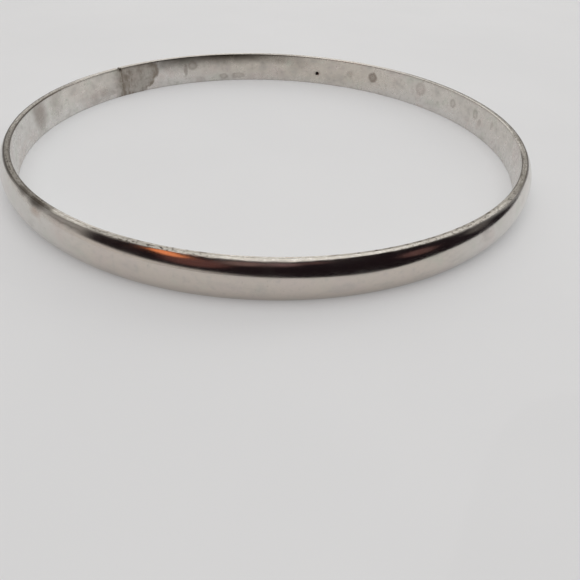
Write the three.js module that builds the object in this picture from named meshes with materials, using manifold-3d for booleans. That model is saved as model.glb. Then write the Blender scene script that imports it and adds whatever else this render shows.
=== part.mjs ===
// Closed, rigid bangle bracelet of hollow-form construction, in millimetres.
// A domed outer shell and a flat inner liner, both bent from thin sheet, meet edge to edge
// at the two rims. Solder runs along both rims, and one soldered butt joint closes the ring.
// Origin: centre of the bottom rim plane. +Z: along the ring's axis. Angles are counted
// anticlockwise from +X, seen from above.
import * as THREE from 'three';
import * as BufferGeometryUtils from 'three/addons/utils/BufferGeometryUtils.js';
import Module from 'manifold-3d';

// Driving dimensions
const INNER_DIAMETER = 65; // the wrist opening
const BAND_HEIGHT = 4.5; // along the ring's axis
const DOME_RISE = 0.88; // how far the dome stands out from the rim corners
const SHEET = 0.28; // thickness of the shell and of the liner
const RIM_SOLDER_FILM = 0.05; // capillary gap between the two sheets at each rim
const RIM_FILLET = 0.35; // height of the solder fillet inside the hollow
const RIM_SOLDER_RECESS = 0.04; // the solder lies this far below the rim surface
const SOLDER_CLEARANCE = 0.01; // all round each solder piece, so that solids stay apart
const FILLET_CLEARANCE = 0.04; // more on the fillet's wide side, which faces the curved hollow
const BUTT_GAP = 0.16; // width of the closing joint
const BUTT_JOINT_ANGLE = 142; // degrees
const NOTCH_WIDTH = 0.4; // unfilled V across the top rim at the closing joint
const NOTCH_DEPTH = 0.35;
const VENT_DIAMETER = 0.6; // lets gas out of the hollow while it is soldered
const VENT_ANGLE = 78.2; // degrees
const VENT_HEIGHT = 1.75; // above the bottom rim

// Faceting
const RING_SEGMENTS = 120;
const DOME_SEGMENTS = 8;
const HOLLOW_SEGMENTS = 6;
const VENT_SEGMENTS = 16;

// Derived dimensions
const INNER_RADIUS = INNER_DIAMETER / 2;
const HALF_HEIGHT = BAND_HEIGHT / 2;
const DOME_ARC_RADIUS = (HALF_HEIGHT ** 2 + DOME_RISE ** 2) / (2 * DOME_RISE);
const HOLLOW_ARC_RADIUS = DOME_ARC_RADIUS - SHEET;
const LINER_OUTER_RADIUS = INNER_RADIUS + SHEET;
const SHELL_EDGE_RADIUS = LINER_OUTER_RADIUS + RIM_SOLDER_FILM;
const DOME_ARC_CENTRE = SHELL_EDGE_RADIUS - Math.sqrt(HOLLOW_ARC_RADIUS ** 2 - HALF_HEIGHT ** 2);
const OUTER_RADIUS = DOME_ARC_CENTRE + DOME_ARC_RADIUS;
const CUTTER_REACH = 4; // long enough radially to pass right through the band
const CUTTER_HEIGHT = 2 * BAND_HEIGHT;

const wasm = await Module();
wasm.setup();

// Radius of the dome's or the hollow's arc at a height above the bottom rim.
function arcRadiusAt(height, arcRadius) {
  return DOME_ARC_CENTRE + Math.sqrt(arcRadius ** 2 - (height - HALF_HEIGHT) ** 2);
}

// Points along an arc of the cross-section, evenly spaced by angle, from one height to another.
function arcPoints(arcRadius, fromHeight, toHeight, segments) {
  const startAngle = Math.asin((fromHeight - HALF_HEIGHT) / arcRadius);
  const endAngle = Math.asin((toHeight - HALF_HEIGHT) / arcRadius);
  const points = [];
  for (let i = 0; i <= segments; i += 1) {
    const angle = THREE.MathUtils.lerp(startAngle, endAngle, i / segments);
    const radius = DOME_ARC_CENTRE + arcRadius * Math.cos(angle);
    points.push(new THREE.Vector2(radius, HALF_HEIGHT + arcRadius * Math.sin(angle)));
  }
  return points;
}

// Revolve a closed anticlockwise outline of (radius, height) points into a full ring.
function ringGeometry(outline) {
  const geometry = new THREE.LatheGeometry([...outline, outline[0].clone()], RING_SEGMENTS);
  geometry.rotateX(Math.PI / 2);
  return geometry;
}

function toSolid(geometry) {
  const bare = geometry.clone();
  bare.deleteAttribute('normal');
  bare.deleteAttribute('uv');
  const merged = BufferGeometryUtils.mergeVertices(bare);
  const mesh = new wasm.Mesh({
    numProp: 3,
    vertProperties: new Float32Array(merged.attributes.position.array),
    triVerts: new Uint32Array(merged.index.array),
  });
  return new wasm.Manifold(mesh);
}

function toGeometry(solid) {
  const mesh = solid.getMesh();
  const geometry = new THREE.BufferGeometry();
  geometry.setAttribute('position', new THREE.BufferAttribute(mesh.vertProperties, 3));
  geometry.setIndex(new THREE.BufferAttribute(mesh.triVerts, 1));
  geometry.computeVertexNormals();
  return geometry;
}

// Move a shape modelled in local axes to an angle on the ring. Local X, Y and Z become the
// given directions, each one of 'out', 'up', 'round' and 'back' at that angle.
function placeOnRing(geometry, angleDegrees, radius, height, directions) {
  const angle = THREE.MathUtils.degToRad(angleDegrees);
  const out = new THREE.Vector3(Math.cos(angle), Math.sin(angle), 0);
  const up = new THREE.Vector3(0, 0, 1);
  const round = new THREE.Vector3().crossVectors(up, out);
  const named = { out, up, round, back: round.clone().negate() };
  const matrix = new THREE.Matrix4().makeBasis(...directions.map((name) => named[name]));
  matrix.setPosition(out.clone().multiplyScalar(radius).setZ(height));
  return geometry.applyMatrix4(matrix);
}

// The saw cut between the two ends of the band, through its whole section.
function buttGapCutter() {
  const box = new THREE.BoxGeometry(CUTTER_REACH, BUTT_GAP, CUTTER_HEIGHT);
  const directions = ['out', 'round', 'up'];
  return toSolid(placeOnRing(box, BUTT_JOINT_ANGLE, INNER_RADIUS, HALF_HEIGHT, directions));
}

// The V left open across the top rim, where the solder did not fill the joint.
function notchCutter() {
  const section = new THREE.Shape([
    new THREE.Vector2(0, -NOTCH_DEPTH),
    new THREE.Vector2(NOTCH_WIDTH, NOTCH_DEPTH),
    new THREE.Vector2(-NOTCH_WIDTH, NOTCH_DEPTH),
  ]);
  const prism = new THREE.ExtrudeGeometry(section, { depth: CUTTER_REACH, bevelEnabled: false });
  prism.translate(0, 0, -CUTTER_REACH / 2);
  const directions = ['round', 'up', 'out'];
  return toSolid(placeOnRing(prism, BUTT_JOINT_ANGLE, INNER_RADIUS, BAND_HEIGHT, directions));
}

function ventCutter() {
  const radius = VENT_DIAMETER / 2;
  const drill = new THREE.CylinderGeometry(radius, radius, CUTTER_REACH, VENT_SEGMENTS);
  const directions = ['up', 'out', 'round'];
  return toSolid(placeOnRing(drill, VENT_ANGLE, INNER_RADIUS, VENT_HEIGHT, directions));
}

// Cut a full ring open at the closing joint.
function openRing(geometry) {
  return toSolid(geometry).subtract(buttGapCutter()).subtract(notchCutter());
}

function outerDomedShell() {
  const dome = arcPoints(DOME_ARC_RADIUS, 0, BAND_HEIGHT, DOME_SEGMENTS);
  const hollow = arcPoints(HOLLOW_ARC_RADIUS, BAND_HEIGHT, 0, HOLLOW_SEGMENTS);
  return toGeometry(openRing(ringGeometry([...dome, ...hollow])));
}

function innerLiner() {
  const outline = [
    new THREE.Vector2(INNER_RADIUS, 0),
    new THREE.Vector2(LINER_OUTER_RADIUS, 0),
    new THREE.Vector2(LINER_OUTER_RADIUS, BAND_HEIGHT),
    new THREE.Vector2(INNER_RADIUS, BAND_HEIGHT),
  ];
  return toGeometry(openRing(ringGeometry(outline)).subtract(ventCutter()));
}

// Solder along one rim: a thin film between the sheets that widens to a fillet in the hollow.
function rimSolder(isTop) {
  const outline = [
    new THREE.Vector2(LINER_OUTER_RADIUS + SOLDER_CLEARANCE, RIM_SOLDER_RECESS),
    new THREE.Vector2(SHELL_EDGE_RADIUS - SOLDER_CLEARANCE, RIM_SOLDER_RECESS),
    new THREE.Vector2(arcRadiusAt(RIM_FILLET, HOLLOW_ARC_RADIUS) - FILLET_CLEARANCE, RIM_FILLET),
    new THREE.Vector2(LINER_OUTER_RADIUS + SOLDER_CLEARANCE, RIM_FILLET),
  ];
  if (!isTop) {
    return toGeometry(openRing(ringGeometry(outline)));
  }
  const mirrored = outline.map((point) => new THREE.Vector2(point.x, BAND_HEIGHT - point.y));
  return toGeometry(openRing(ringGeometry(mirrored.reverse())));
}

// Solder that closes the butt joint: a thin plate with the outline of the band's section,
// open in the middle where the band is hollow, and lower than the notch at the top.
function buttJointSolder() {
  const bottom = RIM_SOLDER_RECESS;
  const top = BAND_HEIGHT - NOTCH_DEPTH;
  const dome = arcPoints(DOME_ARC_RADIUS - SOLDER_CLEARANCE, bottom, top, DOME_SEGMENTS);
  const inner = INNER_RADIUS + SOLDER_CLEARANCE;
  const section = new THREE.Shape([
    new THREE.Vector2(inner, top),
    new THREE.Vector2(inner, bottom),
    ...dome,
  ]);
  const hollow = arcPoints(HOLLOW_ARC_RADIUS, RIM_FILLET, top - RIM_FILLET, HOLLOW_SEGMENTS);
  section.holes.push(new THREE.Path([
    new THREE.Vector2(LINER_OUTER_RADIUS, top - RIM_FILLET),
    new THREE.Vector2(LINER_OUTER_RADIUS, RIM_FILLET),
    ...hollow,
  ]));
  const thickness = BUTT_GAP - 2 * SOLDER_CLEARANCE;
  const plate = new THREE.ExtrudeGeometry(section, { depth: thickness, bevelEnabled: false });
  plate.translate(0, 0, -thickness / 2);
  return placeOnRing(plate, BUTT_JOINT_ANGLE, 0, 0, ['out', 'up', 'back']);
}

function metal(color, roughness) {
  return new THREE.MeshStandardMaterial({ color, roughness, metalness: 1 });
}

function addPiece(group, name, geometry, material) {
  const mesh = new THREE.Mesh(geometry, material);
  mesh.name = name;
  group.add(mesh);
}

const bangle = new THREE.Group();
bangle.name = 'bangle_bracelet';
addPiece(bangle, 'outer_domed_shell', outerDomedShell(), metal(0xd2cfcb, 0.06));
addPiece(bangle, 'inner_liner', innerLiner(), metal(0xb4aea8, 0.32));
addPiece(bangle, 'top_rim_solder', rimSolder(true), metal(0x8f877e, 0.45));
addPiece(bangle, 'bottom_rim_solder', rimSolder(false), metal(0x8f877e, 0.45));
addPiece(bangle, 'butt_joint_solder', buttJointSolder(), metal(0x6e655b, 0.55));

export default bangle;
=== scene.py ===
# Closed bangle bracelet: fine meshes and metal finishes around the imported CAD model.
# Blender units are metres. Outlines and surface positions are in millimetres and scaled once.
import math

import bmesh
import bpy
from mathutils import Matrix, Vector, noise
from mathutils.geometry import tessellate_polygon


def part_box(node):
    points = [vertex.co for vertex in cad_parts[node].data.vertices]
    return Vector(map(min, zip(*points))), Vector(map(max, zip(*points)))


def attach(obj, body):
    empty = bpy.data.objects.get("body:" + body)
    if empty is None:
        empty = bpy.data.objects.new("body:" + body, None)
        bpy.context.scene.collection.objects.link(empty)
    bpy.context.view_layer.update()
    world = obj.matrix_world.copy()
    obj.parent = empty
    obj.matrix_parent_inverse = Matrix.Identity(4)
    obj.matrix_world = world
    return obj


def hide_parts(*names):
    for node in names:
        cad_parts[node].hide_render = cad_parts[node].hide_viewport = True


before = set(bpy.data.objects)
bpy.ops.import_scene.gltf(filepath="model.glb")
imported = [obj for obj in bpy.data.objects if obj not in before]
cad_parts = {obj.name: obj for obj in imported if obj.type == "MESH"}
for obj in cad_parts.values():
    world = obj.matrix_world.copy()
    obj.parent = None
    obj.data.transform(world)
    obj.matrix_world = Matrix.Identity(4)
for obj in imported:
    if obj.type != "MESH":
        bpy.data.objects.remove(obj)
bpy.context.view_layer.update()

MM = 0.001

# ---------------------------------------------------------------- sizes, in millimetres
SHELL_HIGH = [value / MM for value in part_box("outer_domed_shell")[1]]
LINER_HIGH = [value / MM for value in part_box("inner_liner")[1]]
OUTER_RADIUS = SHELL_HIGH[0]
BAND_HEIGHT = SHELL_HIGH[2]
HALF_HEIGHT = BAND_HEIGHT / 2
SHEET = 0.28
DOME_RISE = 0.88
RIM_SOLDER_FILM = 0.05
RIM_FILLET = 0.35
# Clearances are smaller than in the CAD model, because these arcs are finer
SOLDER_CLEARANCE = 0.003
FILM_CLEARANCE = 0.002
FILLET_CLEARANCE = 0.02
VISIBLE_RIM_RECESS = 0.012
BUTT_GAP = 0.16
BUTT_JOINT_ANGLE = 142
NOTCH_WIDTH = 0.4
NOTCH_DEPTH = 0.35
NOTCH_CURVE = 1.3  # above 1, the notch's lips are softened
VENT_DIAMETER = 0.6
VENT_ANGLE = 78.2
VENT_HEIGHT = 1.75
VENT_RADIUS = VENT_DIAMETER / 2
VENT_LIP = 0.03  # rounding of the hole's edge
VENT_PATCH_CELLS = 3  # the hole's patch reaches this many cells each way from its centre
VENT_PATCH_RINGS = (0.6, 0.25, 0)  # shares of the way from the hole out to the patch's edge
FACE_TOLERANCE = 0.001

LINER_OUTER_RADIUS = LINER_HIGH[0]
INNER_RADIUS = LINER_OUTER_RADIUS - SHEET
SHELL_EDGE_RADIUS = LINER_OUTER_RADIUS + RIM_SOLDER_FILM
DOME_ARC_RADIUS = (HALF_HEIGHT ** 2 + DOME_RISE ** 2) / (2 * DOME_RISE)
HOLLOW_ARC_RADIUS = DOME_ARC_RADIUS - SHEET
DOME_ARC_CENTRE = OUTER_RADIUS - DOME_ARC_RADIUS
RIM_OUTER_RADIUS = OUTER_RADIUS - DOME_RISE
INNER_LENGTH = 2 * math.pi * INNER_RADIUS
VENT_ALONG = math.radians((VENT_ANGLE - BUTT_JOINT_ANGLE) % 360) * INNER_RADIUS

OUTER_CORNER_ROUNDING = 0.09
INNER_CORNER_ROUNDING = 0.11
HIDDEN_CORNER_ROUNDING = 0.008
CORNER_STEPS = 5
RING_STATIONS = 640
SEAM_STATIONS = 12  # extra ones on each side of the butt joint, across the notch
DOME_STEPS = 36
HOLLOW_STEPS = 10
FACE_STEPS = 18
RIM_STEPS = 5
SHARP_EDGE_ANGLE = 35

# ---------------------------------------------------------------- camera
CAMERA_PITCH = 36.9  # degrees below the horizon
CAMERA_ROLL = 2.84
CAMERA_PLACE = (3.69, -76.21, 33.66)  # millimetres from the centre of the bottom rim
FRAME_WIDTHS_TO_FOCUS = 1.006  # focal length as a share of the picture's width
SENSOR_WIDTH = 36


def add_camera():
    data = bpy.data.cameras.new("camera")
    data.sensor_width = SENSOR_WIDTH
    data.lens = SENSOR_WIDTH * FRAME_WIDTHS_TO_FOCUS
    data.clip_start = 0.001
    camera = bpy.data.objects.new("camera", data)
    tilt = Matrix.Rotation(math.radians(90 - CAMERA_PITCH), 4, "X")
    roll = Matrix.Rotation(math.radians(CAMERA_ROLL), 4, "Z")
    camera.matrix_world = Matrix.Translation(Vector(CAMERA_PLACE) * MM) @ tilt @ roll
    bpy.context.scene.collection.objects.link(camera)
    bpy.context.scene.camera = camera


# ---------------------------------------------------------------- cross-sections
def arc_radius_at(height, arc_radius):
    return DOME_ARC_CENTRE + math.sqrt(arc_radius ** 2 - (height - HALF_HEIGHT) ** 2)


def arc_points(arc_radius, from_height, to_height, steps):
    """Points of the dome or the hollow, as (radius, height), evenly spaced by angle."""
    start = math.asin((from_height - HALF_HEIGHT) / arc_radius)
    end = math.asin((to_height - HALF_HEIGHT) / arc_radius)
    points = []
    for i in range(steps + 1):
        angle = start + (end - start) * i / steps
        radius = DOME_ARC_CENTRE + arc_radius * math.cos(angle)
        points.append((radius, HALF_HEIGHT + arc_radius * math.sin(angle)))
    return points


def line_points(start, end, steps):
    """Points after start, up to and including end."""
    points = []
    for i in range(1, steps + 1):
        share = i / steps
        points.append(tuple(a + (b - a) * share for a, b in zip(start, end)))
    return points


def rounded_corner(before, corner, after, radius):
    """The arc that rounds off one corner of an outline."""
    corner_point = Vector(corner)
    arriving = (Vector(before) - corner_point).normalized()
    leaving = (Vector(after) - corner_point).normalized()
    half_angle = arriving.angle(leaving) / 2
    setback = radius / math.tan(half_angle)
    centre = corner_point + (arriving + leaving).normalized() * (radius / math.sin(half_angle))
    start = corner_point + arriving * setback - centre
    end = corner_point + leaving * setback - centre
    points = []
    for i in range(CORNER_STEPS + 1):
        spoke = start.slerp(end, i / CORNER_STEPS) * radius
        points.append(tuple(centre + spoke))
    return points


def shell_outline():
    dome = arc_points(DOME_ARC_RADIUS, 0, BAND_HEIGHT, DOME_STEPS)
    hollow = arc_points(HOLLOW_ARC_RADIUS, BAND_HEIGHT, 0, HOLLOW_STEPS)
    outline = rounded_corner(hollow[-1], dome[0], dome[1], OUTER_CORNER_ROUNDING)
    outline += dome[1:-1]
    outline += rounded_corner(dome[-2], dome[-1], hollow[0], OUTER_CORNER_ROUNDING)
    hidden_corner = rounded_corner(dome[-1], hollow[0], hollow[1], HIDDEN_CORNER_ROUNDING)
    outline += line_points(outline[-1], hidden_corner[0], RIM_STEPS)[:-1]
    outline += hidden_corner
    outline += hollow[1:-1]
    outline += rounded_corner(hollow[-2], hollow[-1], dome[0], HIDDEN_CORNER_ROUNDING)
    return outline


def liner_outline():
    """Both long faces are cut into the same number of rows, so that a hole can pass through."""
    corners = [
        (INNER_RADIUS, 0, INNER_CORNER_ROUNDING),
        (LINER_OUTER_RADIUS, 0, HIDDEN_CORNER_ROUNDING),
        (LINER_OUTER_RADIUS, BAND_HEIGHT, HIDDEN_CORNER_ROUNDING),
        (INNER_RADIUS, BAND_HEIGHT, INNER_CORNER_ROUNDING),
    ]
    arcs = []
    for i, (radius, height, rounding) in enumerate(corners):
        before = corners[i - 1][:2]
        after = corners[(i + 1) % len(corners)][:2]
        arcs.append(rounded_corner(before, (radius, height), after, rounding))
    hidden_face = line_points(arcs[1][-1], arcs[2][0], FACE_STEPS)[:-1]
    inner_face = line_points(arcs[3][-1], arcs[0][0], FACE_STEPS)[:-1]
    return arcs[0] + arcs[1] + hidden_face + arcs[2] + arcs[3] + inner_face


def rim_solder_outline(is_top):
    fillet_radius = arc_radius_at(RIM_FILLET, HOLLOW_ARC_RADIUS) - FILLET_CLEARANCE
    outline = [
        (LINER_OUTER_RADIUS + FILM_CLEARANCE, VISIBLE_RIM_RECESS),
        (SHELL_EDGE_RADIUS - FILM_CLEARANCE, VISIBLE_RIM_RECESS),
        (fillet_radius, RIM_FILLET),
        (LINER_OUTER_RADIUS + FILM_CLEARANCE, RIM_FILLET),
    ]
    if is_top:
        outline = [(radius, BAND_HEIGHT - height) for radius, height in reversed(outline)]
    return outline


# ---------------------------------------------------------------- shape along the ring
def spaced(start, end, steps):
    """Evenly spaced values after start, up to and including end."""
    return [start + (end - start) * i / steps for i in range(1, steps + 1)]


def station_distances():
    """Distances along the inner face from the middle of the butt joint, one of them at the vent."""
    start = BUTT_GAP / 2
    near = [start + NOTCH_WIDTH * i / SEAM_STATIONS for i in range(SEAM_STATIONS)]
    far = [INNER_LENGTH - distance for distance in reversed(near)]
    steps_to_vent = round(RING_STATIONS * (VENT_ALONG - near[-1]) / (far[0] - near[-1]))
    to_vent = spaced(near[-1], VENT_ALONG, steps_to_vent)
    to_end = spaced(VENT_ALONG, far[0], RING_STATIONS - steps_to_vent)
    return near + to_vent + to_end + far[1:]


def distance_from_joint(along):
    return min(along, INNER_LENGTH - along)


def notch_floor(along):
    """Height that the top rim is cut down to at the butt joint, with softened lips."""
    share = max(0.0, 1 - distance_from_joint(along) / (NOTCH_WIDTH / 2 + BUTT_GAP / 2))
    return BAND_HEIGHT - NOTCH_DEPTH * share ** NOTCH_CURVE


def ring_angle(along):
    return math.radians(BUTT_JOINT_ANGLE) + along / INNER_RADIUS


def eased(share):
    """The share, kept between 0 and 1, with a smooth start and end."""
    share = min(1.0, max(0.0, share))
    return share * share * (3 - 2 * share)


def bump_near(angle, stretch):
    """1 at the middle of a stretch of the ring, falling smoothly to 0 at both of its ends."""
    offset = math.degrees(angle) - stretch["angle"]
    offset = (offset + 180) % 360 - 180
    return eased(1 - abs(offset) / stretch["half_width"])


FILED_EDGE = {"angle": 117, "half_width": 34, "depth": 0.09, "height": 1.25}
EDGE_EASE = {"depth": 0.03, "height": 0.3}
EDGE_CURVE = 1.7
WORN_CORNER = {"angle": 229, "half_width": 15, "depth": 0.085, "curve": 1.3}
WORN_CORNER_REACH = 0.32  # from the corner, short of the solder between the sheets
WORN_INWARD, WORN_DOWNWARD = 0.4, 0.92
JOINT_PEAK = 0.035  # the two ends meet in a slight outward peak
JOINT_PEAK_REACH = 2.2
RIM_NICKS = 0.02
RIM_NICK_SPACING = 0.6
RIM_NICK_REACH = 0.15  # the nicks fade out this far from the rim
FINE_NICK_SHARE, FINE_NICK_SCALE = 0.5, 2.7  # smaller nicks among them
SMEAR_RISE = 0.02  # solder that ran over the inner face beside the joint
SMEAR_LENGTH = 7.2
SMEAR_MIDDLE = 2.9  # height at which it reaches farthest
SMEAR_BEND = 0.35
SMEAR_WANDER = 0.9  # unevenness of its far edge
SMEAR_WANDER_SCALE = (0.6, 0.8)  # of the noise behind it, along and up
SMEAR_FEATHER = 0.5


def solder_smear(height, along):
    """How much of the smear is left at a place: full near the joint, with an uneven far edge."""
    scale_along, scale_up = SMEAR_WANDER_SCALE
    wander = noise.noise(Vector((along * scale_along, height * scale_up, 3.0)))
    far_edge = SMEAR_LENGTH - SMEAR_BEND * (height - SMEAR_MIDDLE) ** 2 + SMEAR_WANDER * wander
    inside = far_edge - (INNER_LENGTH - along)
    return eased(inside / SMEAR_FEATHER)


def filed_inner_edge(radius, height, along):
    """Eases the liner's upper inner edge back, most where it was filed, and adds the smear."""
    filed = bump_near(ring_angle(along), FILED_EDGE)
    depth = EDGE_EASE["depth"] + (FILED_EDGE["depth"] - EDGE_EASE["depth"]) * filed
    reach = EDGE_EASE["height"] + (FILED_EDGE["height"] - EDGE_EASE["height"]) * filed
    climb = max(0.0, 1 - (BAND_HEIGHT - height) / reach)
    inset = (radius - INNER_RADIUS) / SHEET
    ease = depth * climb ** EDGE_CURVE - SMEAR_RISE * solder_smear(height, along)
    return radius + ease * (1 - inset), height


def worn_outer_corner(radius, height, along):
    """Rounds the shell's upper outer corner where wear has softened it."""
    worn = bump_near(ring_angle(along), WORN_CORNER)
    offset = Vector((radius - RIM_OUTER_RADIUS, height - BAND_HEIGHT)).length
    near = max(0.0, 1 - offset / WORN_CORNER_REACH)
    depth = WORN_CORNER["depth"] * worn * near ** WORN_CORNER["curve"]
    return radius - WORN_INWARD * depth, height - WORN_DOWNWARD * depth


def notched_and_worn_shell(radius, height, along):
    """In the notch, keeps the cut shell clear of the solder fillet; then wears its corner."""
    floor = notch_floor(along)
    if height > floor:
        hollow = arc_radius_at(floor, HOLLOW_ARC_RADIUS)
        dome = arc_radius_at(floor, DOME_ARC_RADIUS)
        share = (radius - SHELL_EDGE_RADIUS) / (dome - SHELL_EDGE_RADIUS)
        radius = hollow + (dome - hollow) * share
    return worn_outer_corner(radius, height, along)


def worn_rim(radius, height, along):
    """Tiny nicks that only ever take the rim down."""
    near_rim = max(0.0, 1 - (BAND_HEIGHT - height) / RIM_NICK_REACH)
    place = Vector((along / RIM_NICK_SPACING, radius / RIM_NICK_SPACING, 0))
    nick = max(0.0, noise.noise(place))
    nick += FINE_NICK_SHARE * max(0.0, noise.noise(place * FINE_NICK_SCALE))
    return height - RIM_NICKS * nick * near_rim


def place_on_ring(along, height, radius):
    angle = ring_angle(along)
    return (radius * math.cos(angle) * MM, radius * math.sin(angle) * MM, height * MM)


def ring_strip(name, outline, shape=None, vent=False):
    """Sweep a closed outline round the ring, from one side of the butt joint to the other.
    shape(radius, height, along) moves single points of the outline."""
    vertices = []
    strip = []
    stations = station_distances()
    for along in stations:
        floor = notch_floor(along)
        peak = JOINT_PEAK * max(0.0, 1 - distance_from_joint(along) / JOINT_PEAK_REACH) ** 2
        for radius, height in outline:
            strip.append((along, height, radius - INNER_RADIUS))
            if shape:
                radius, height = shape(radius, height, along)
            height = min(worn_rim(radius, height, along), floor)
            vertices.append(place_on_ring(along, height, radius + peak))
    count = len(outline)
    cells = sweep_cells(len(stations), count)
    if vent:
        punch_vent(stations, outline, cells, vertices, strip)
    last = (len(stations) - 1) * count
    caps = [tuple(range(count)), tuple(reversed(range(last, last + count)))]
    return mesh_object(name, vertices, list(cells.values()) + caps, strip)


def sweep_cells(stations, count):
    """Four-sided faces between neighbouring stations, named by station and row of the outline."""
    cells = {}
    for i in range(stations - 1):
        for j in range(count):
            here = i * count + j
            beside = i * count + (j + 1) % count
            cells[i, j] = (here, here + count, beside + count, beside)
    return cells


def mesh_object(name, vertices, faces, strip):
    """A smooth mesh whose 'strip' attribute holds millimetres along, up and into the band."""
    mesh = bpy.data.meshes.new(name)
    mesh.from_pydata(vertices, [], faces)
    attribute = mesh.attributes.new("strip", "FLOAT_VECTOR", "POINT")
    for item, value in zip(attribute.data, strip):
        item.vector = value
    mesh.validate()
    mesh.shade_smooth()
    mesh.set_sharp_from_angle(angle=math.radians(SHARP_EDGE_ANGLE))
    piece = bpy.data.objects.new(name, mesh)
    bpy.context.scene.collection.objects.link(piece)
    return piece


# ---------------------------------------------------------------- vent hole
def patch_loop(columns, rows):
    """The corners of the cells round a patch of the sweep, in order, as (station, row)."""
    first_column, last_column = columns
    first_row, last_row = rows
    loop = [(i, first_row) for i in range(first_column, last_column)]
    loop += [(last_column, j) for j in range(first_row, last_row)]
    loop += [(i, last_row) for i in range(last_column, first_column, -1)]
    loop += [(first_column, j) for j in range(last_row, first_row, -1)]
    return loop


def punch_vent(stations, outline, cells, vertices, strip):
    """Swap a square patch of both faces of the liner for one with a round hole, and join them."""
    station = min(range(len(stations)), key=lambda i: abs(stations[i] - VENT_ALONG))
    columns = (station - VENT_PATCH_CELLS, station + VENT_PATCH_CELLS)
    centre = Vector((stations[station], VENT_HEIGHT))
    bores = []
    for face_radius, inward in ((INNER_RADIUS, 1), (LINER_OUTER_RADIUS, -1)):
        rows = vent_rows(outline, face_radius)
        for i in range(*columns):
            for j in range(*rows):
                del cells[i, j]
        loop = patch_loop(columns, rows)
        ring = [i * len(outline) + j for i, j in loop]
        corners = [Vector((stations[i], outline[j][1])) for i, j in loop]
        for places in hole_rings(centre, corners):
            first = len(vertices)
            for along, height, depth in places:
                radius = face_radius + inward * depth
                vertices.append(place_on_ring(along, height, radius))
                strip.append((along, height, radius - INNER_RADIUS))
            inner = list(range(first, len(vertices)))
            join_rings(cells, ring, inner)
            ring = inner
        bores.append(ring)
    inside, hidden = bores
    join_rings(cells, inside, matching_order(inside, hidden, vertices))


def vent_rows(outline, face_radius):
    """First and last row of the hole's patch on one of the liner's long faces."""
    on_face = [j for j, point in enumerate(outline) if abs(point[0] - face_radius) < FACE_TOLERANCE]
    row = min(on_face, key=lambda j: abs(outline[j][1] - VENT_HEIGHT))
    return row - VENT_PATCH_CELLS, row + VENT_PATCH_CELLS


def hole_rings(centre, corners):
    """Rings from the patch's edge to the hole's lip and down into it, as (along, height, depth)."""
    steps = [(share, VENT_RADIUS + VENT_LIP, 0) for share in VENT_PATCH_RINGS]
    steps.append((0, VENT_RADIUS, VENT_LIP))
    rings = []
    for share, circle_radius, depth in steps:
        ring = []
        for corner in corners:
            on_circle = centre + (corner - centre).normalized() * circle_radius
            along, height = on_circle.lerp(corner, share)
            ring.append((along, height, depth))
        rings.append(ring)
    return rings


def join_rings(cells, outer, inner):
    count = len(outer)
    for k in range(count):
        after = (k + 1) % count
        cells["ring", outer[k], outer[after]] = (outer[k], outer[after], inner[after], inner[k])


def matching_order(ring, other, vertices):
    """The other ring's vertices in an order that runs beside the first ring's."""
    reverse = list(reversed(other))
    start = Vector(vertices[ring[0]])
    first = min(range(len(reverse)), key=lambda k: (Vector(vertices[reverse[k]]) - start).length)
    return reverse[first:] + reverse[:first]


# ---------------------------------------------------------------- solder at the butt joint
def butt_joint_outlines():
    """The band's outline up to the notch, and the outline of the hollow inside it."""
    top = BAND_HEIGHT - NOTCH_DEPTH
    inner = INNER_RADIUS - SMEAR_RISE / 2
    dome = arc_points(DOME_ARC_RADIUS - SOLDER_CLEARANCE, VISIBLE_RIM_RECESS, top, DOME_STEPS)
    outside = [(inner, top), (inner, VISIBLE_RIM_RECESS)] + dome
    hollow = arc_points(HOLLOW_ARC_RADIUS, RIM_FILLET, top - RIM_FILLET, HOLLOW_STEPS)
    inside = [(LINER_OUTER_RADIUS, top - RIM_FILLET), (LINER_OUTER_RADIUS, RIM_FILLET)] + hollow
    return outside, inside


def butt_joint_solder():
    """A thin plate across the band, open where the band is hollow."""
    outside, inside = butt_joint_outlines()
    half = BUTT_GAP / 2 - SOLDER_CLEARANCE
    vertices = []
    strip = []
    for along in (-half, half):
        for radius, height in outside + inside:
            vertices.append(place_on_ring(along, height, radius + JOINT_PEAK))
            strip.append((along, height, radius - INNER_RADIUS))
    count = len(outside) + len(inside)
    loops = [[Vector((r, h, 0)) for r, h in outside], [Vector((r, h, 0)) for r, h in inside]]
    faces = []
    for a, b, c in tessellate_polygon(loops):
        faces.append((a, b, c))
        faces.append((c + count, b + count, a + count))
    for first, size in ((0, len(outside)), (len(outside), len(inside))):
        for k in range(size):
            here = first + k
            beside = first + (k + 1) % size
            faces.append((here, beside, beside + count, here + count))
    piece = mesh_object("butt_joint_solder_fine", vertices, faces, strip)
    face_outwards(piece)
    return piece


def face_outwards(piece):
    work = bmesh.new()
    work.from_mesh(piece.data)
    bmesh.ops.recalc_face_normals(work, faces=work.faces)
    work.to_mesh(piece.data)
    work.free()


# ---------------------------------------------------------------- node helper
# Where a stain fades, in shares of its half-length and half-height
STAIN_EDGE = 1.25  # nothing is left of it here
STAIN_MIDDLE = (0.25, 0.8)  # a weaker middle gives way to full strength between these


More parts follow.
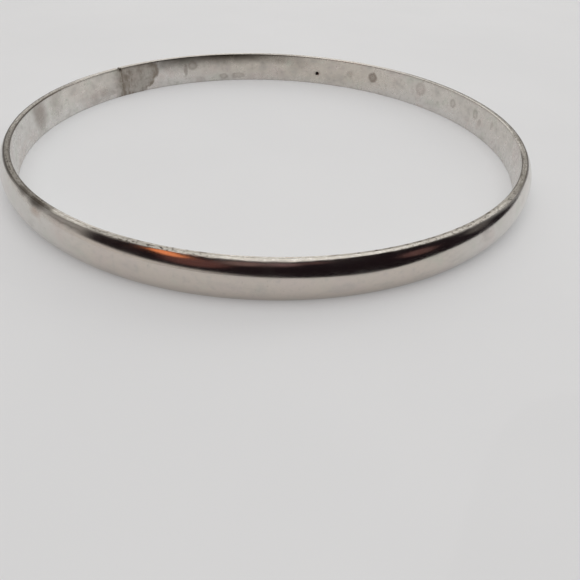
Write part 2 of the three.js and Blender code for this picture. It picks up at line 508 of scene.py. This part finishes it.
class Shader:
    """Adds nodes to one tree and links them. A socket value may be a number, a colour or a link."""

    def __init__(self, tree):
        self.tree = tree
        tree.nodes.clear()

    def node(self, kind, sockets=None, **settings):
        item = self.tree.nodes.new(kind)
        for name, value in settings.items():
            setattr(item, name, value)
        for name, value in (sockets or {}).items():
            socket = item.inputs[name]
            if isinstance(value, bpy.types.NodeSocket):
                self.tree.links.new(value, socket)
            else:
                socket.default_value = value
        return item

    def math(self, operation, first, second=0.0, clamp=False):
        sockets = {0: first, 1: second}
        return self.node("ShaderNodeMath", sockets, operation=operation, use_clamp=clamp).outputs[0]

    def vector(self, operation, first, second=(0, 0, 0), third=(0, 0, 0)):
        sockets = {0: first, 1: second, 2: third}
        item = self.node("ShaderNodeVectorMath", sockets, operation=operation)
        return item.outputs[1] if operation in ("LENGTH", "DOT_PRODUCT") else item.outputs[0]

    def smooth(self, value, low, high, to_low=0.0, to_high=1.0):
        sockets = {"Value": value, "From Min": low, "From Max": high}
        sockets.update({"To Min": to_low, "To Max": to_high})
        return self.node("ShaderNodeMapRange", sockets, interpolation_type="SMOOTHSTEP").outputs[0]

    def noise(self, place, scale, stretch=(1, 1, 1), detail=3.0, roughness=0.55):
        stretched = self.vector("MULTIPLY", place, stretch)
        sockets = {"Vector": stretched, "Scale": scale, "Detail": detail, "Roughness": roughness}
        return self.node("ShaderNodeTexNoise", sockets).outputs[0]

    def mix(self, share, first, second):
        sockets = {0: share, 6: first, 7: second}
        return self.node("ShaderNodeMix", sockets, data_type="RGBA").outputs[2]

    def bump(self, height, depth, normal=None):
        """Relief on the surface, of a depth in millimetres."""
        sockets = {"Height": height, "Distance": depth * MM}
        if normal is not None:
            sockets["Normal"] = normal
        return self.node("ShaderNodeBump", sockets).outputs[0]

    def strongest(self, values):
        result = values[0]
        for value in values[1:]:
            result = self.math("MAXIMUM", result, value)
        return result

    def strip_place(self):
        """Millimetres along the band, up from the bottom rim and out from the inner face."""
        return self.node("ShaderNodeAttribute", attribute_name="strip").outputs["Vector"]

    def ring_place(self):
        """Millimetres in the ring's own frame, where noise runs on smoothly across the joint."""
        place = self.node("ShaderNodeTexCoord").outputs["Object"]
        return self.vector("MULTIPLY", place, (1 / MM, 1 / MM, 1 / MM))

    def warped(self, place, scale, amount):
        """The place, shifted by noise, so that stains get uneven outlines."""
        sockets = {"Vector": self.ring_place(), "Scale": scale, "Detail": 3.0}
        colour = self.node("ShaderNodeTexNoise", sockets).outputs["Color"]
        shift = self.vector("SUBTRACT", colour, (0.5, 0.5, 0.5))
        return self.vector("ADD", place, self.vector("MULTIPLY", shift, (amount, amount, amount)))

    def split(self, vector):
        return self.node("ShaderNodeSeparateXYZ", {0: vector}).outputs

    def offset_from(self, place, along, height):
        """How far a place on the strip lies from another one, by the shorter way round."""
        half = INNER_LENGTH / 2
        offset = self.vector("SUBTRACT", place, (along, height, 0))
        return self.vector("WRAP", offset, (half, half, half), (-half, -half, -half))

    def spot(self, place, mark, core):
        """A soft-edged stain, full inside core, or a ring if its middle is weaker than 1."""
        angle, height, half_length, half_height, strength, middle = mark
        along = math.radians(angle - BUTT_JOINT_ANGLE) * INNER_RADIUS
        offset = self.offset_from(place, along, height)
        scaled = self.vector("MULTIPLY", offset, (1 / half_length, 1 / half_height, 0))
        distance = self.vector("LENGTH", scaled)
        disc = self.smooth(distance, STAIN_EDGE, core, 0.0, strength)
        if middle < 1:
            disc = self.math("MULTIPLY", disc, self.smooth(distance, *STAIN_MIDDLE, middle, 1.0))
        return disc

    def spots(self, place, marks, core=0.7):
        return self.strongest([self.spot(place, mark, core) for mark in marks])


def new_material(name):
    material = bpy.data.materials.new(name)
    material.use_nodes = True
    shader = Shader(material.node_tree)
    return material, shader


def finish(shader, **sockets):
    """Ends a material in one Principled surface. Socket names are given with _ for a space."""
    sockets = {name.replace("_", " "): value for name, value in sockets.items()}
    surface = shader.node("ShaderNodeBsdfPrincipled", sockets)
    shader.node("ShaderNodeOutputMaterial", {"Surface": surface.outputs[0]})


def finish_metal(shader, colour, roughness, normal):
    finish(shader, Base_Color=colour, Metallic=1.0, Roughness=roughness, Normal=normal)


# ---------------------------------------------------------------- metal finishes
POLISHED = (0.69, 0.667, 0.632, 1)
WARM_POLISH = (0.665, 0.605, 0.545, 1)
SATIN = (0.755, 0.735, 0.705, 1)
WARM_SATIN = (0.70, 0.645, 0.57, 1)
CREAM_RIM = (0.66, 0.62, 0.56, 1)
BRIGHT_RIM = (0.80, 0.77, 0.72, 1)
DULL_RIM = (0.26, 0.24, 0.21, 1)
GREY_HAZE = (0.52, 0.50, 0.47, 1)
PINK_TINT = (0.66, 0.585, 0.55, 1)
GREEN_TINT = (0.58, 0.61, 0.53, 1)
BROWN_TARNISH = (0.27, 0.225, 0.19, 1)
TAN_TARNISH = (0.42, 0.31, 0.24, 1)
# Dark grime; the same colour is also the painted shade under the liner's rim
DARK_GRIME_AND_SHADE = (0.075, 0.06, 0.045, 1)
HEAT_STAIN = (0.33, 0.295, 0.25, 1)
SOLDER_TONES = {
    "rim_solder": ((0.48, 0.45, 0.40, 1), (0.26, 0.23, 0.19, 1)),
    "joint_solder": ((0.5, 0.465, 0.41, 1), (0.36, 0.325, 0.28, 1)),
}
FLOOR_TONES = ((0.51, 0.515, 0.52, 1), (0.53, 0.535, 0.54, 1))
# Colours of the black card that stands in for shade in the reflections
CARD_TONES = ((0.008, 0.006, 0.007, 1), (0.014, 0.011, 0.012, 1))

# Depth of the relief in each surface, in millimetres
HAIRLINE_DEPTH = 0.0008
DOME_WAVE_DEPTH = 0.004
RIM_RELIEF_DEPTH = 0.012
RUB_DEPTH = 0.004
GRAIN_DEPTH = 0.0025
STAIN_DEPTH = 0.01
PIT_DEPTH = 0.01

# Where the rim's finish and the grime along its corner fade in, in millimetres
RIM_FADE = (0.03, 0.004)  # below the plane of the rim
GRIME_FADE_BELOW = (0.24, 0.08)  # below the plane of the rim
GRIME_FADE_INWARD = (0.2, 0.06)  # from the corner, across the rim
LEAST_GRIME = 0.15

# Stains: ring angle, height, half-length, half-height (mm), strength, share of it in the middle
LINER_STAINS = [
    (59.9, 2.6, 0.82, 0.8, 0.85, 0.75),
    (67.5, 2.4, 0.6, 0.55, 0.3, 1.0),
    (120.4, 2.4, 0.3, 1.1, 0.5, 1.0),
    (118.2, 3.0, 0.85, 0.8, 0.5, 0.35),
    (108.3, 0.8, 0.75, 0.5, 0.42, 0.6),
    (103.6, 0.85, 1.3, 0.5, 0.4, 0.7),
    (43.0, 2.9, 1.0, 1.1, 0.3, 0.45),
    (30.3, 2.7, 0.65, 0.65, 0.42, 0.45),
    (20.6, 2.9, 0.6, 0.75, 0.4, 0.45),
    (18.0, 2.1, 0.45, 0.5, 0.28, 1.0),
    (12.1, 2.9, 0.4, 0.6, 0.28, 1.0),
    (147.0, 1.1, 1.8, 0.4, 0.35, 1.0),
    (151.5, 0.6, 1.6, 0.35, 0.3, 1.0),
]
SOFT_LINER_STAINS = [
    (84.0, 3.0, 2.6, 1.1, 0.25, 1.0),
    (90.0, 3.4, 1.6, 0.8, 0.25, 1.0),
    (175.5, 2.9, 2.2, 2.7, 0.68, 1.0),
    (167.5, 3.0, 1.8, 2.8, 0.27, 1.0),
    (VENT_ANGLE, VENT_HEIGHT, 0.62, 0.62, 0.6, 1.0),
    (152.5, 1.2, 1.6, 1.0, 0.3, 1.0),
    (148.0, 1.3, 1.7, 1.2, 0.4, 1.0),
]
# Painted shade just under the rim, where the liner's edge was filed: dark colour standing in for
# the darker reflection there
EDGE_SHADE = [
    (121.0, 4.4, 9.0, 2.1, 0.82, 1.0),
    (107.0, 4.3, 16.0, 1.65, 0.95, 1.0),
]
HEAT_GAPS = [(139.1, 2.3, 0.13, 1.7, 0.2, 1.0)]
NOTCH_GRIME = [(BUTT_JOINT_ANGLE, 4.35, 0.2, 0.34, 0.8, 1.0)]
WARM_ZONE = [
    (84.0, 2.9, 26.0, 3.2, 0.9, 1.0),
    (25.0, 4.2, 30.0, 3.4, 0.45, 1.0),
    (150.0, 3.6, 12.0, 2.6, 0.5, 1.0),
]
WARM_DOME = [(272.0, 2.25, 20.0, 9.0, 1.0, 1.0)]
SHELL_STAINS = [
    (228.0, 4.4, 1.9, 0.5, 0.8, 1.0),
    (222.5, 4.4, 1.2, 0.4, 0.4, 1.0),
    (236.0, 4.15, 3.5, 0.12, 0.3, 1.0),
]
TAN_STAINS = [(228.5, 3.65, 1.1, 0.45, 0.5, 1.0)]
WORN_ZONE = [(212.0, 2.25, 15.0, 8.0, 1.0, 1.0)]
RIM_STAINS = [
    (229.0, BAND_HEIGHT, 2.0, 0.6, 0.6, 1.0),
    (222.5, BAND_HEIGHT, 1.6, 0.4, 0.4, 1.0),
]


def rim_lengths(*lengths):
    """Stains over the whole width of the top rim: ring angle, half-length (mm), strength."""
    return [(angle, BAND_HEIGHT, half, 1.0, strength, 1.0) for angle, half, strength in lengths]


# Dull lengths of the rim, on both sheets, on the shell's edge and on the liner's edge
DULL_BOTH = rim_lengths(
    (209, 11, 1),
    (186, 8, 0.35),
    (166, 5, 0.4),
    (254, 6, 0.35),
    (337, 8.5, 0.9),
    (314, 11, 0.35),
    (92, 5, 0.3),
)
DULL_SHELL_EDGE = rim_lengths((12, 20, 0.85), (250, 5, 0.65))
DULL_LINER_EDGE = rim_lengths((309, 14, 0.75), (355, 5, 0.5))
GRIMY_OUTER_CORNER = rim_lengths((186, 19, 1), (12, 24, 0.9))
GRIMY_INNER_CORNER = rim_lengths((196, 22, 0.8), (339, 6.5, 0.75))


def rim_masks(shader, place, corner_depth, grimy_marks):
    """How far a point belongs to a flat rim, and to the grimy line along the rim's corner."""
    _, height, depth = shader.split(place)
    from_middle = shader.math("ABSOLUTE", shader.math("SUBTRACT", height, HALF_HEIGHT))
    on_rim = shader.smooth(from_middle, *[HALF_HEIGHT - below for below in RIM_FADE])
    below = shader.smooth(from_middle, *[HALF_HEIGHT - below for below in GRIME_FADE_BELOW])
    inward = shader.math("ABSOLUTE", shader.math("SUBTRACT", depth, corner_depth))
    near_corner = shader.smooth(inward, *GRIME_FADE_INWARD)
    above = shader.mix(on_rim, below, near_corner)
    grimy = shader.math("ADD", shader.spots(place, grimy_marks), LEAST_GRIME, clamp=True)
    return on_rim, shader.math("MULTIPLY", above, grimy)


def rim_colour(shader, place, uneven, dull_marks):
    """Cream where it is clean, brown-grey and specked where it is dull, streaked along the ring."""
    streaks = shader.noise(place, 1.0, (0.7, 1, 9), detail=4.0, roughness=0.65)
    nicks = shader.noise(place, 1.9, (1, 0, 1.6), detail=3.0)
    specks = shader.noise(place, 2.3, (1, 0, 1.5), detail=3.0, roughness=0.7)
    patchy = shader.smooth(shader.noise(place, 0.5, (1, 0, 1), detail=4.0), 0.3, 0.7, 0.75, 1.15)
    dull = shader.math("MULTIPLY", shader.spots(uneven, dull_marks), patchy, clamp=True)
    colour = shader.mix(shader.smooth(nicks, 0.48, 0.62), CREAM_RIM, BRIGHT_RIM)
    colour = shader.mix(dull, colour, DULL_RIM)
    speckled = shader.smooth(dull, 0.0, 0.5, 0.2, 1.0)
    specks = shader.math("MULTIPLY", shader.smooth(specks, 0.5, 0.62), speckled)
    colour = shader.mix(specks, colour, DARK_GRIME_AND_SHADE)
    colour = shader.mix(shader.smooth(streaks, 0.5, 0.8, 0.0, 0.45), colour, BROWN_TARNISH)
    stains = shader.spots(uneven, RIM_STAINS)
    return shader.mix(stains, colour, DARK_GRIME_AND_SHADE)


def tinted(shader, colour, tint, pink, green):
    """Faint pink and green tints where a noise is high and where it is low."""
    colour = shader.mix(shader.smooth(tint, 0.5, 0.68, 0.0, pink), colour, PINK_TINT)
    return shader.mix(shader.smooth(tint, 0.46, 0.3, 0.0, green), colour, GREEN_TINT)


def dome_colour(shader, place, haze, worn):
    """Polished metal, warmer at the front, hazy and specked with tarnish, most where it is worn."""
    metal = shader.ring_place()
    tint = shader.noise(metal, 0.4, detail=3.0)
    mottle = shader.noise(metal, 1.6, detail=4.0, roughness=0.65)
    specks = shader.smooth(shader.noise(metal, 2.6, detail=2.0), 0.66, 0.8)
    specks = shader.math("MULTIPLY", specks, shader.smooth(worn, 0.0, 1.0, 0.25, 0.6))
    colour = shader.mix(shader.spots(place, WARM_DOME), POLISHED, WARM_POLISH)
    colour = tinted(shader, colour, tint, pink=0.5, green=0.4)
    colour = shader.mix(shader.smooth(haze, 0.5, 0.75, 0.0, 0.5), colour, GREY_HAZE)
    colour = shader.mix(shader.smooth(mottle, 0.5, 0.72, 0.0, 0.4), colour, GREY_HAZE)
    return shader.mix(specks, colour, BROWN_TARNISH)


def polished_shell_material():
    """Mirror polish with hairline scratches, faint haze, grimy rim corners and a few stains."""
    material, shader = new_material("polished_dome")
    place = shader.strip_place()
    metal = shader.ring_place()
    uneven = shader.warped(place, 1.1, 1.2)
    softer = shader.warped(place, 0.9, 0.5)
    outer_corner = RIM_OUTER_RADIUS - INNER_RADIUS
    on_rim, corner = rim_masks(shader, place, outer_corner, GRIMY_OUTER_CORNER)
    haze = shader.noise(metal, 0.35, (1, 1, 2), detail=5.0)
    worn = shader.spots(place, WORN_ZONE)
    stains = shader.spots(softer, SHELL_STAINS, core=0.15)

    colour = dome_colour(shader, place, haze, worn)
    colour = shader.mix(shader.spots(softer, TAN_STAINS, core=0.2), colour, TAN_TARNISH)
    rim = rim_colour(shader, place, uneven, DULL_BOTH + DULL_SHELL_EDGE)
    colour = shader.mix(on_rim, colour, rim)
    for grime in (stains, corner, shader.spots(softer, NOTCH_GRIME)):
        colour = shader.mix(grime, colour, DARK_GRIME_AND_SHADE)

    polish = shader.smooth(haze, 0.35, 0.8, 0.13, 0.2)
    polish = shader.math("ADD", polish, shader.math("MULTIPLY", worn, 0.07))
    polish = shader.math("ADD", polish, shader.math("MULTIPLY", stains, 0.2))
    rim_roughness = shader.smooth(haze, 0.3, 0.7, 0.1, 0.25)
    roughness = shader.math("ADD", polish, shader.math("MULTIPLY", on_rim, rim_roughness))
    hairlines = shader.noise(metal, 1.0, (0.25, 0.25, 22), detail=4.0, roughness=0.7)
    rim_relief = shader.math("MULTIPLY", on_rim, shader.noise(metal, 5.0))
    normal = shader.bump(hairlines, HAIRLINE_DEPTH)
    normal = shader.bump(shader.noise(metal, 0.5, detail=2.0), DOME_WAVE_DEPTH, normal)
    normal = shader.bump(rim_relief, RIM_RELIEF_DEPTH, normal)
    finish_metal(shader, colour, roughness, normal)
    return material


def satin_colour(shader, place, cloud, mottle):
    """Clouded satin, warmer in places and mottled with tarnish."""
    metal = shader.ring_place()
    softer = shader.warped(place, 0.7, 0.7)
    tint = shader.noise(metal, 0.3, (1, 1, 1.2), detail=3.0)
    colour = shader.mix(shader.spots(softer, WARM_ZONE, core=0.4), SATIN, WARM_SATIN)
    colour = tinted(shader, colour, tint, pink=0.45, green=0.4)
    colour = shader.mix(shader.smooth(cloud, 0.5, 0.75, 0.0, 0.5), colour, GREY_HAZE)
    return shader.mix(shader.smooth(mottle, 0.5, 0.78, 0.0, 0.25), colour, BROWN_TARNISH)


def satin_liner_material():
    """Worn satin: clouded colour, lengthwise rub marks, tarnish spots, the heat stain and painted
    shade under the rim.
    """
    material, shader = new_material("satin_liner")
    place = shader.strip_place()
    metal = shader.ring_place()
    uneven = shader.warped(place, 1.4, 0.6)
    softer = shader.warped(place, 0.7, 0.7)
    on_rim, corner = rim_masks(shader, place, 0.0, GRIMY_INNER_CORNER)
    cloud = shader.noise(metal, 0.5, (1, 1, 1.4), detail=4.0, roughness=0.6)
    mottle = shader.noise(metal, 1.7, detail=3.0, roughness=0.6)
    stains = shader.spots(uneven, LINER_STAINS)
    soft_stains = shader.spots(uneven, SOFT_LINER_STAINS, core=0.2)
    heat = heat_stain(shader, place)

    colour = satin_colour(shader, place, cloud, mottle)
    colour = shader.mix(shader.math("MAXIMUM", stains, soft_stains), colour, BROWN_TARNISH)
    # Painted shade under the rim, in the dark grime colour
    colour = shader.mix(shader.spots(softer, EDGE_SHADE, core=0.0), colour, DARK_GRIME_AND_SHADE)
    heat_tone = shader.mix(shader.smooth(mottle, 0.35, 0.65, 0.0, 0.7), HEAT_STAIN, BROWN_TARNISH)
    colour = shader.mix(heat, colour, heat_tone)
    rim = rim_colour(shader, place, uneven, DULL_BOTH + DULL_LINER_EDGE)
    colour = shader.mix(on_rim, colour, rim)
    for grime in (corner, shader.spots(softer, NOTCH_GRIME)):
        colour = shader.mix(grime, colour, DARK_GRIME_AND_SHADE)

    roughness = shader.smooth(cloud, 0.3, 0.75, 0.24, 0.38)
    roughness = shader.math("ADD", roughness, shader.math("MULTIPLY", heat, 0.12))
    rub = shader.noise(metal, 1.0, (0.35, 0.35, 14), detail=5.0, roughness=0.7)
    normal = shader.bump(rub, RUB_DEPTH)
    normal = shader.bump(shader.noise(metal, 6.0, detail=3.0), GRAIN_DEPTH, normal)
    normal = shader.bump(stains, STAIN_DEPTH, normal)
    finish_metal(shader, colour, roughness, normal)
    return material


# The heat stain beside the joint, in millimetres: where it fades in, counted from the smear's far
# edge or from the joint, and where it is darkest
HEAT_FAR_EDGE = (0.25, -0.35)
HEAT_PAST_JOINT = (-1.7, 0.1)
HEAT_DARK_FAR_EDGE = (-1.6, -0.3)
HEAT_DARK_AT_JOINT = (3.0, 0.6)
HEAT_WEAKEST = 0.72  # between the two dark stretches
HEAT_WEAKEST_AT_JOINT = 0.7


def heat_stain(shader, place):
    """The stained, soldered stretch beside the joint, strongest along its uneven far edge."""
    shifted = shader.warped(place, 0.9, 1.5)
    along, height, _ = shader.split(shader.offset_from(shifted, 0, SMEAR_MIDDLE))
    from_joint = shader.math("MULTIPLY", along, -1)
    bend = shader.math("MULTIPLY", shader.math("MULTIPLY", height, height), SMEAR_BEND)
    reach = shader.math("ADD", from_joint, bend)
    inside = shader.smooth(reach, *[SMEAR_LENGTH + past for past in HEAT_FAR_EDGE])
    past_joint = shader.smooth(from_joint, *HEAT_PAST_JOINT)
    dark_far_edge = [SMEAR_LENGTH + past for past in HEAT_DARK_FAR_EDGE]
    far_edge = shader.smooth(reach, *dark_far_edge, HEAT_WEAKEST, 1.0)
    at_joint = shader.smooth(from_joint, *HEAT_DARK_AT_JOINT, HEAT_WEAKEST_AT_JOINT, 1.0)
    edge = shader.math("MAXIMUM", far_edge, at_joint)
    metal = shader.ring_place()
    streaks = shader.noise(metal, 1.0, (1.7, 1.7, 0.7), detail=4.0, roughness=0.65)
    blotches = shader.noise(metal, 1.1, detail=3.0)
    strength = shader.math("MULTIPLY", edge, shader.smooth(streaks, 0.35, 0.65, 0.8, 1.1))
    strength = shader.math("MULTIPLY", strength, shader.smooth(blotches, 0.3, 0.65, 0.7, 1.1))
    strength = shader.math("SUBTRACT", strength, shader.spots(shifted, HEAT_GAPS), clamp=True)
    inside = shader.math("MULTIPLY", inside, past_joint)
    return shader.math("MULTIPLY", inside, strength, clamp=True)


def solder_material(name):
    """Dull cast solder, pitted and unevenly oxidised."""
    material, shader = new_material(name)
    place = shader.strip_place()
    cloud = shader.noise(place, 1.6, detail=4.0)
    pits = shader.noise(place, 9.0, detail=3.0)
    colour = shader.mix(shader.smooth(cloud, 0.35, 0.7), *SOLDER_TONES[name])
    roughness = shader.smooth(cloud, 0.3, 0.7, 0.35, 0.55)
    finish_metal(shader, colour, roughness, shader.bump(pits, PIT_DEPTH))
    return material


def floor_material():
    """Matt, nearly white, faintly lit table top with very faint clouding."""
    material, shader = new_material("pale_floor")
    place = shader.node("ShaderNodeTexCoord").outputs["Object"]
    cloud = shader.smooth(shader.noise(place, 25.0, detail=4.0), 0.3, 0.7)
    colour = shader.mix(cloud, *FLOOR_TONES)
    glow = {"Emission_Color": (1, 1, 1, 1), "Emission_Strength": FLOOR_GLOW}
    finish(shader, Base_Color=colour, Roughness=0.6, Specular_IOR_Level=0.2, **glow)
    return material


def reflected_shade_card_material():
    """Matt black card with a faint paper grain: painted shade, seen only in the metal's
    reflections.
    """
    material, shader = new_material("reflected_shade_black")
    colour = shader.mix(shader.noise(shader.ring_place(), 0.5), *CARD_TONES)
    finish(shader, Base_Color=colour, Roughness=0.9, Specular_IOR_Level=0.0)
    return material


# ---------------------------------------------------------------- studio
CARD_AZIMUTH = 298  # the card's middle, where it comes nearest to the ring
CARD_HALF_WIDTH = 70  # in degrees round the ring's axis
CARD_NEAREST = 50  # from the ring's axis, in millimetres
CARD_CURVE = 230  # how much farther off the card's near edge lies at its two ends
CARD_FARTHEST = 1400
CARD_HEIGHT = 0.2
CARD_STEPS = 24
FLOOR_HALF_SIZE = 1.5
FLOOR_GLOW = 0.24
DARK_ROOM = (0.013, 0.0085, 0.0105, 1)
SIDE_LIGHT = (0.42, 0.41, 0.40, 1)
LEFT_WALL = (0.36, 0.345, 0.33, 1)
WINDOW_LIGHT = (1.05, 1.04, 1.02, 1)
CEILING_LIGHT = (1.7, 1.69, 1.68, 1)
TABLE_SWEEP = (0.62, 0.60, 0.58, 1)
KEY_LIGHT = (3.0, 2.97, 2.92, 1)
BACKDROP = (0.64, 0.64, 0.645, 1)  # what the camera sees beyond the floor
# Each light covers those before it: azimuth from +X, elevation, half-width with and without
# its soft edge (all in degrees), colour
ROOM_LIGHTS = [
    (95, 50.6, 76, 67, SIDE_LIGHT),
    (166, 8, 34, 28, LEFT_WALL),
    (90, 36, 33, 23, WINDOW_LIGHT),
    (270, 84, 38, 22, CEILING_LIGHT),
    (38, 24, 15, 9, KEY_LIGHT),
]
# Glows in the dark room, soft from half their width: azimuth, elevation, half-width, colour
ROOM_GLOWS = [
    (243, 26, 15, (0.13, 0.056, 0.05, 1)),
    (262, 38, 9, (0.20, 0.13, 0.122, 1)),
    (279, 39, 8, (0.19, 0.12, 0.122, 1)),
    (294, 41, 6, (0.09, 0.05, 0.05, 1)),
    (335, 19, 9, (0.135, 0.072, 0.068, 1)),
    (5, 15, 8, (0.11, 0.10, 0.095, 1)),
    (225, 40, 7, (1.35, 0.43, 0.17, 1)),
    (231, 36, 6, (1.1, 0.37, 0.16, 1)),
]


SWEEP_UP = (350, 80)  # the table's sweep fills what lies below a plane square to this direction
SWEEP_FADE = (0.07, -0.03)  # cosines of the angles from that direction between which it fades in


def direction(azimuth, elevation):
    azimuth = math.radians(azimuth)
    elevation = math.radians(elevation)
    level = math.cos(elevation)
    return (level * math.cos(azimuth), level * math.sin(azimuth), math.sin(elevation))


def cap(shader, look, azimuth, elevation, outer, inner):
    """1 within inner degrees of a direction, falling to 0 at outer degrees."""
    toward = shader.vector("DOT_PRODUCT", look, direction(azimuth, elevation))
    return shader.smooth(toward, math.cos(math.radians(outer)), math.cos(math.radians(inner)))


def add_world():
    """A bright ceiling and far window, paler sides, and a dark room on the near side."""
    world = bpy.data.worlds.new("studio")
    world.use_nodes = True
    bpy.context.scene.world = world
    shader = Shader(world.node_tree)
    look = shader.node("ShaderNodeTexCoord").outputs["Generated"]
    look = shader.vector("NORMALIZE", look)

    colour = DARK_ROOM
    for azimuth, elevation, outer, inner, light in ROOM_LIGHTS:
        colour = shader.mix(cap(shader, look, azimuth, elevation, outer, inner), colour, light)
    for azimuth, elevation, outer, glow in ROOM_GLOWS:
        colour = shader.mix(cap(shader, look, azimuth, elevation, outer, outer / 2), colour, glow)
    above_sweep = shader.vector("DOT_PRODUCT", look, direction(*SWEEP_UP))
    colour = shader.mix(shader.smooth(above_sweep, *SWEEP_FADE), colour, TABLE_SWEEP)
    seen_directly = shader.node("ShaderNodeLightPath").outputs["Is Camera Ray"]
    colour = shader.mix(seen_directly, colour, BACKDROP)
    background = shader.node("ShaderNodeBackground", {"Color": colour, "Strength": 1.0})
    shader.node("ShaderNodeOutputWorld", {"Surface": background.outputs[0]})


def add_floor():
    half = FLOOR_HALF_SIZE
    corners = [(-half, -half, 0), (half, -half, 0), (half, half, 0), (-half, half, 0)]
    mesh = bpy.data.meshes.new("floor")
    mesh.from_pydata(corners, [], [(0, 1, 2, 3)])
    mesh.materials.append(floor_material())
    floor = bpy.data.objects.new("floor", mesh)
    bpy.context.scene.collection.objects.link(floor)


def add_reflected_shade_card():
    """Painted shade: a black card lying on the near side of the table, which only the polished
    metal sees, standing in for the shade on that side.
    """
    vertices = []
    for i in range(-CARD_STEPS, CARD_STEPS + 1):
        share = i / CARD_STEPS
        azimuth = CARD_AZIMUTH + share * CARD_HALF_WIDTH
        for reach in (CARD_NEAREST + CARD_CURVE * share * share, CARD_FARTHEST):
            x, y, _ = direction(azimuth, 0)
            vertices.append((reach * x * MM, reach * y * MM, CARD_HEIGHT * MM))
    faces = [(2 * i, 2 * i + 1, 2 * i + 3, 2 * i + 2) for i in range(2 * CARD_STEPS)]
    mesh = bpy.data.meshes.new("reflected_shade_card")
    mesh.from_pydata(vertices, [], faces)
    mesh.materials.append(reflected_shade_card_material())
    card = bpy.data.objects.new("reflected_shade_card", mesh)
    card.visible_camera = False
    card.visible_diffuse = False
    card.visible_shadow = False
    bpy.context.scene.collection.objects.link(card)


# ---------------------------------------------------------------- assembly
def add_piece(piece, node, material):
    piece.data.materials.append(material)
    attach(piece, "root")
    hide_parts(node)


def build():
    rim_metal = solder_material("rim_solder")
    shell = ring_strip("outer_domed_shell_fine", shell_outline(), shape=notched_and_worn_shell)
    add_piece(shell, "outer_domed_shell", polished_shell_material())
    liner = ring_strip("inner_liner_fine", liner_outline(), shape=filed_inner_edge, vent=True)
    add_piece(liner, "inner_liner", satin_liner_material())
    for name, is_top in (("top_rim_solder", True), ("bottom_rim_solder", False)):
        seam = ring_strip(name + "_fine", rim_solder_outline(is_top))
        add_piece(seam, name, rim_metal)
    joint_metal = solder_material("joint_solder")
    add_piece(butt_joint_solder(), "butt_joint_solder", joint_metal)


bpy.context.scene.view_settings.view_transform = "Standard"
add_camera()
add_world()
add_floor()
add_reflected_shade_card()
build()
